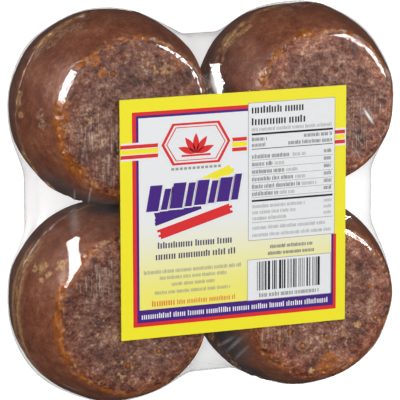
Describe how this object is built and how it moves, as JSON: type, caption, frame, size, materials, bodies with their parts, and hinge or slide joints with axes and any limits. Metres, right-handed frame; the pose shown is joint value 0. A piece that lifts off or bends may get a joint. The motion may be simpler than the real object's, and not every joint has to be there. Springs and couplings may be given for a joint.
{
  "type": "shrink-wrapped pack of cane sugar blocks",
  "caption": "Pack of round brown cane sugar blocks, stacked wide end to wide end in a square and drawn tight in clear film, with a flat square label across the front.",
  "frame": {"origin": "middle of the pack's base, on the surface it lies on", "axes": "+Z is the label's normal, +Y is the label's top, +X is the label's right-hand side"},
  "size_m": [0.1427, 0.1419, 0.0553],
  "materials": {
    "cane_sugar": "rough crystalline faces and smoother waxy sides",
    "clear_film": "clear glossy shrink film",
    "printed_label": "semi-gloss print"
  },
  "bodies": {
    "root": {"film_pack": "cane_sugar", "label": "printed_label"}
  },
  "joints": []
}
